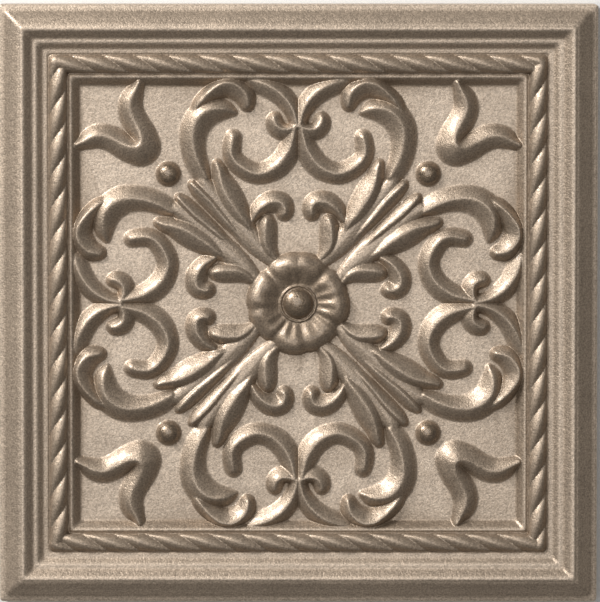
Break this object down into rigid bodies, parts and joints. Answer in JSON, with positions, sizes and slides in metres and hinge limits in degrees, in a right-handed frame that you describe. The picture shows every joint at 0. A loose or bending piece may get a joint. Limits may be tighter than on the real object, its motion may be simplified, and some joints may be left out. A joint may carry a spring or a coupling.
{
  "type": "porcelain decor tile",
  "caption": "Square porcelain decor tile with a moulded rope frame round a relief of scrolls, leaves and a central rosette, metallic satin glaze, flat ribbed back.",
  "frame": {"origin": "middle of the back face, on the level that the tile lies on", "axes": "+Z out of the decorated face, X and Y along the tile's edges"},
  "size_m": [0.199, 0.199, 0.0154],
  "materials": {
    "glazed_body": "satin metallic bronze glaze"
  },
  "bodies": {
    "root": {"decor_tile": "glazed_body"}
  },
  "joints": []
}
